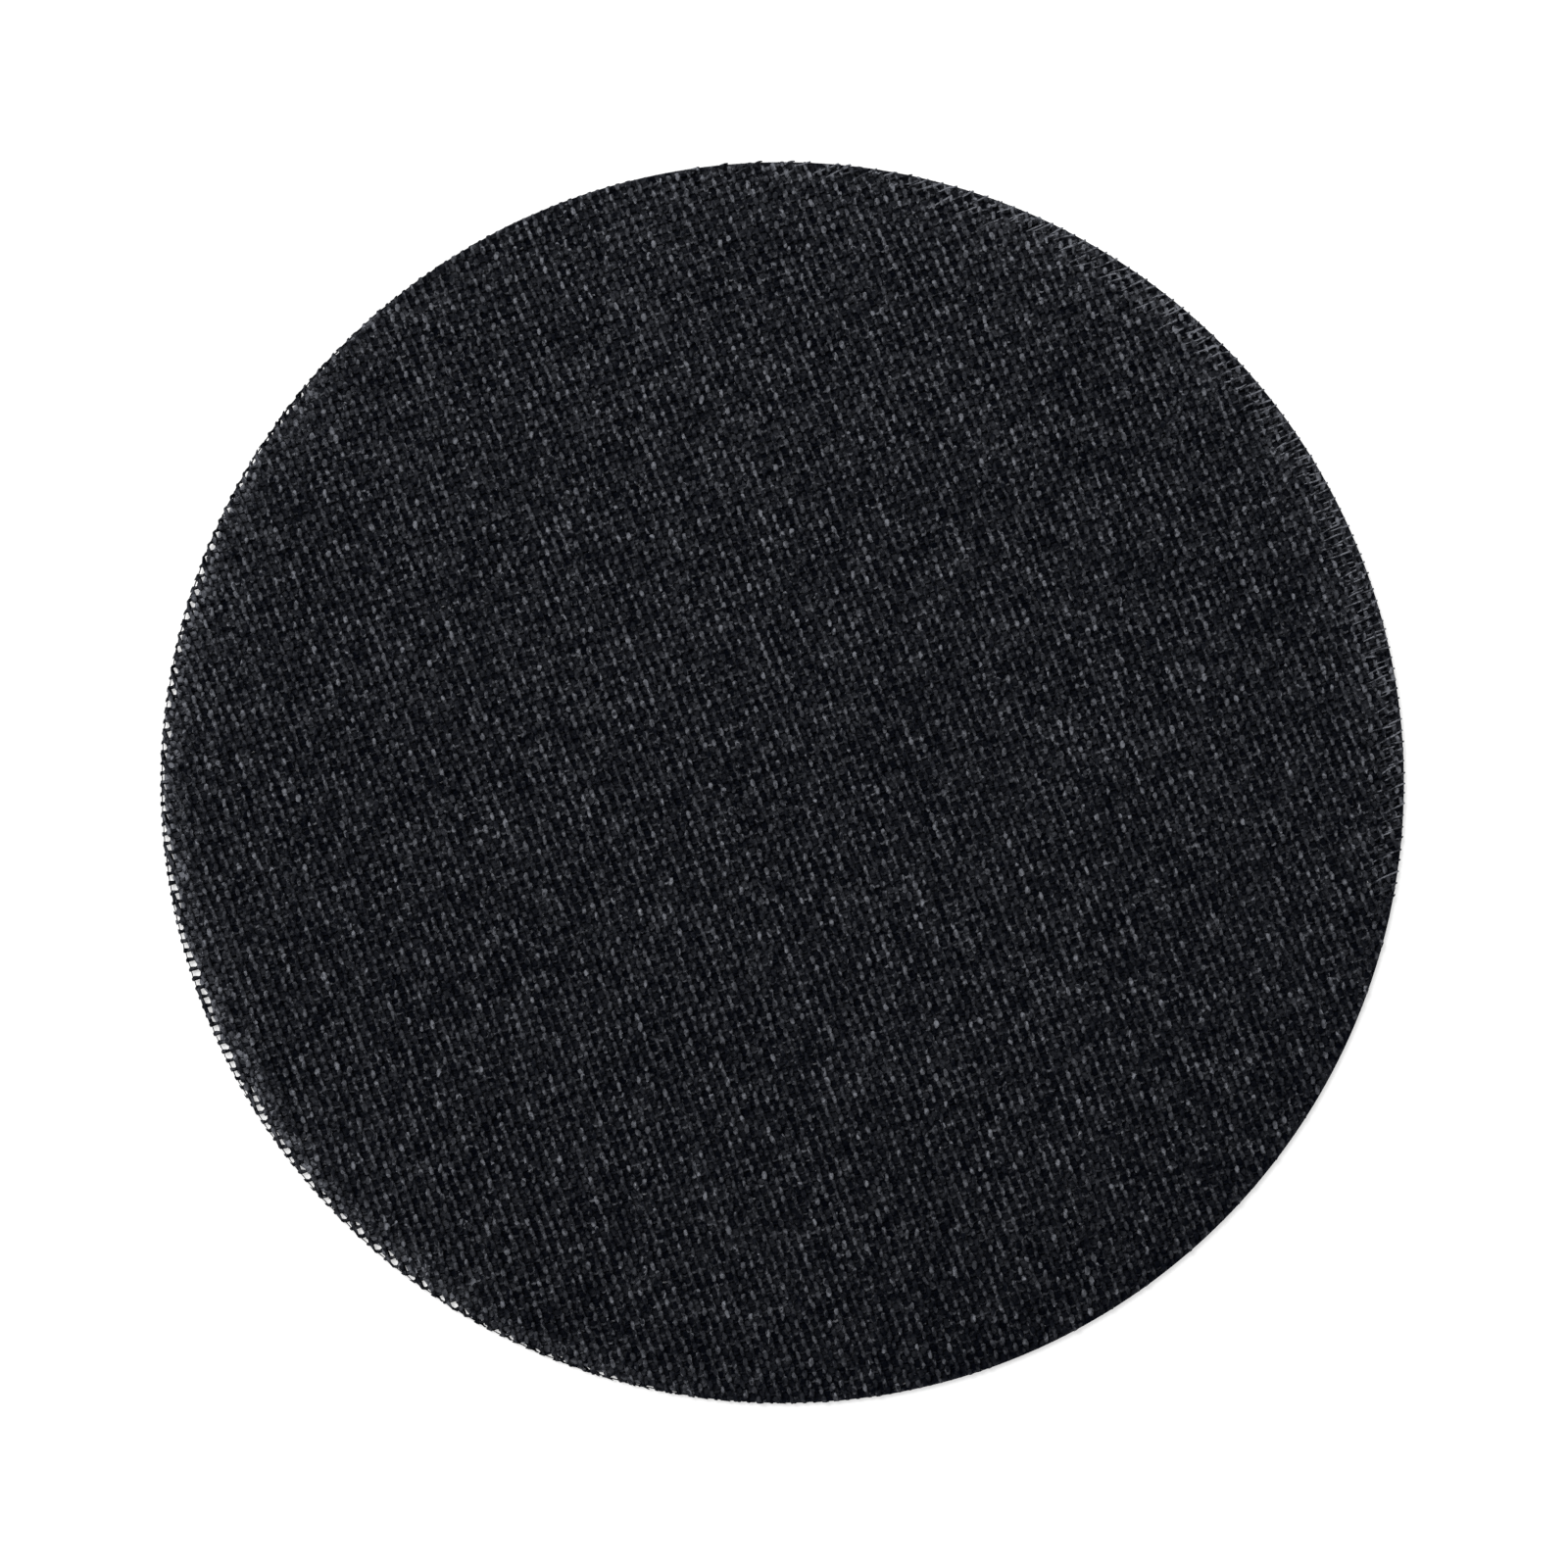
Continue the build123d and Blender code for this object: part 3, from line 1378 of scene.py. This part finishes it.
@dataclass
class Studio:
    """The white ground, the soft lamps and the camera over the disc.

    The camera's tilt is how far it stands from straight above, towards the disc's near edge.
    """

    lamps: tuple[Lamp, ...] = (
        Lamp("key_lamp", (-0.40, 0.42, 0.80), side=0.55, power=7.2),
        Lamp("fill_lamp", (1.10, -0.70, 1.40), side=1.20, power=7.6),
    )
    room_light: float = 0.30
    ground_reach: float = 6.0
    distance: float = 0.300
    tilt: float = math.radians(3.9)
    aim: tuple[float, float] = (0.25 * MM, -1.35 * MM)
    half_view: float = 0.3146
    sensor: float = 36.0
    nearest: float = 0.01

    def build(self, thickness: float) -> None:
        """Builds the ground, lamps, world and camera.

        Args:
            thickness: How thick the disc is.
        """
        self.ground()
        for lamp in self.lamps:
            lamp.hang()
        self.world()
        self.camera(thickness)

    def ground(self) -> None:
        """Lays the white ground."""
        reach = self.ground_reach
        mesh = bpy.data.meshes.new("ground")
        corners = [(-reach, -reach, 0), (reach, -reach, 0), (reach, reach, 0), (-reach, reach, 0)]
        mesh.from_pydata(corners, [], [(0, 1, 2, 3)])
        ground = bpy.data.objects.new("ground", mesh)
        bpy.context.scene.collection.objects.link(ground)
        mesh.materials.append(GroundFinish().material())

    def world(self) -> None:
        """Sets a dim room that shows white behind the ground."""
        shader = Shader(bpy.data.worlds.new("room"))
        room, white = (
            shader.node("ShaderNodeBackground", None, {"Color": WHITE, "Strength": strength})
            for strength in (self.room_light, 1.0)
        )
        shown = shader.node("ShaderNodeMixShader", None, {0: shader.looked_at(), 1: room, 2: white})
        bpy.context.scene.world = shader.finish(shown)

    def camera(self, thickness: float) -> None:
        """Sets the camera over the disc, a little towards its near edge.

        Args:
            thickness: How thick the disc is.
        """
        data = bpy.data.cameras.new("camera")
        data.sensor_width = self.sensor
        data.lens = self.sensor / 2 / self.half_view
        data.clip_start = self.nearest
        camera = bpy.data.objects.new("camera", data)
        back = math.sin(self.tilt) * self.distance
        up = math.cos(self.tilt) * self.distance
        camera.location = Vector((0.0, -back, thickness + up))
        camera.rotation_euler = facing(Vector((*self.aim, thickness)) - camera.location)
        bpy.context.scene.collection.objects.link(camera)
        bpy.context.scene.camera = camera


def main() -> None:
    """Builds the disc layer by layer, then the studio round it."""
    logging.basicConfig(level=logging.INFO, format="%(name)s %(message)s")
    bpy.context.scene.view_settings.view_transform = "Standard"
    net = Net(radius=(cad_high[0] - cad_low[0]) / 2, thickness=cad_high[2])
    grit = GritFinish("grit_coat").material()
    pile = YarnFinish("black_pile").material()
    sub_parts: list[tuple[SubPart, bpy.types.Material]] = [
        (WaleStitches(), grit),
        (WALE_CORES, grit),
        (WEFT_YARNS, grit),
        (LOOP_ROWS, pile),
        (PileLoops(), pile),
        (LoopGround(), pile),
        (CutEdge(), grit),
        (RimFibres(), grit),
        (LooseGrain(), grit),
    ]
    for sub_part, finish in sub_parts:
        sub_part.build(net, finish)
    Studio().build(net.thickness)


if __name__ == "__main__":
    main()
